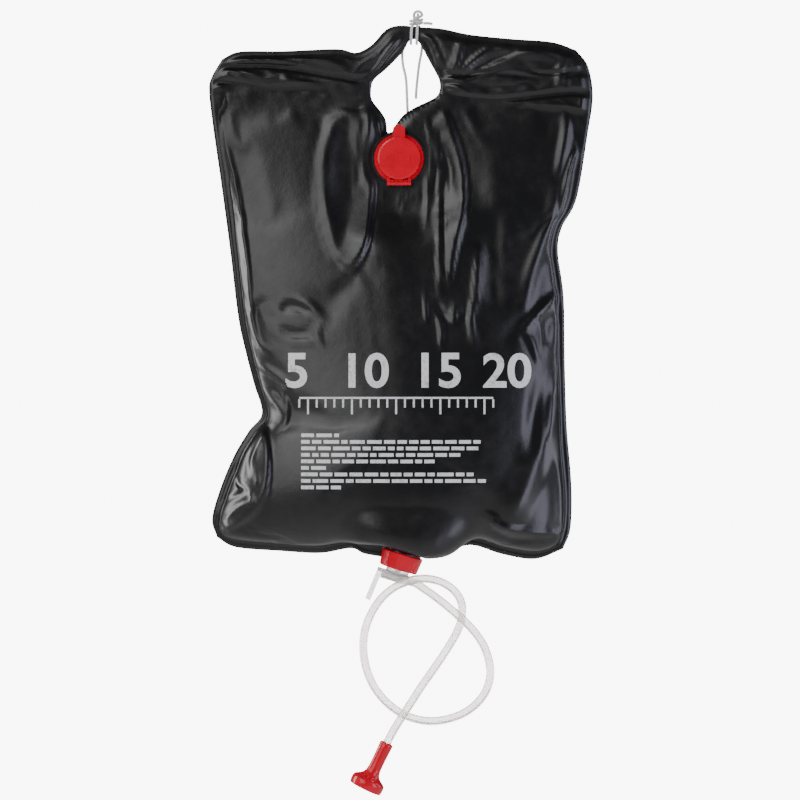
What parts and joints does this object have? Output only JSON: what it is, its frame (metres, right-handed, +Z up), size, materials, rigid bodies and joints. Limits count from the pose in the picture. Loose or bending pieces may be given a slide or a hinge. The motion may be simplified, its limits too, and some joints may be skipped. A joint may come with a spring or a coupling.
{
  "type": "camp shower bag",
  "caption": "Black welded PVC water bag with a hand hole, a red flip-cap filler, a red screw collar with a lever tap, a clear hose with a shower head, and a white hanging cord.",
  "frame": {"origin": "top of the cord's hanging loop, where a hook or branch holds the bag", "axes": "+Z up, +Y from the printed front to the back, so the front faces -Y and +X is right as seen from the front"},
  "size_m": [0.4399, 0.1096, 0.8962],
  "materials": {
    "black_pvc": "glossy black PVC sheet",
    "red_plastic": "glossy moulded red",
    "white_plastic": "moulded white, satin",
    "clear_vinyl": "clear soft vinyl tube",
    "seal_rubber": "matt black rubber",
    "hinge_steel": "plain steel pin",
    "white_cord": "braided white cord"
  },
  "bodies": {
    "bag": {"front_panel": "black_pvc", "back_panel": "black_pvc", "filler_neck": "red_plastic", "filler_weld_ring": "black_pvc", "filler_hinge_pin": "hinge_steel", "outlet_neck": "black_pvc", "outlet_gasket": "seal_rubber", "collar_nut": "red_plastic", "tap_body": "white_plastic", "hose": "clear_vinyl", "head_body": "red_plastic", "head_rose": "red_plastic", "cord_loop_outer": "white_cord", "cord_loop_inner": "white_cord", "cord_knot": "white_cord", "cord_strand_left": "white_cord", "cord_strand_right": "white_cord", "cord_tail_long": "white_cord", "cord_tail_short": "white_cord", "cord_short_end": "white_cord"},
    "cap": {"filler_cap": "red_plastic", "filler_seal": "seal_rubber"},
    "lever": {"tap_lever": "white_plastic", "plug_seal_1": "seal_rubber", "plug_seal_2": "seal_rubber"}
  },
  "joints": [
    {"name": "filler_cap", "type": "hinge", "parent": "bag", "child": "cap", "pos_m": [-0.02179, -0.00875, -0.19912], "axis": [1, 0, 0], "range_deg": [0, 120]},
    {"name": "tap_lever", "type": "hinge", "parent": "bag", "child": "lever", "pos_m": [-0.02563, -0.027, -0.64856], "axis": [0.9563, 0, -0.2924], "range_deg": [0, 90]}
  ]
}
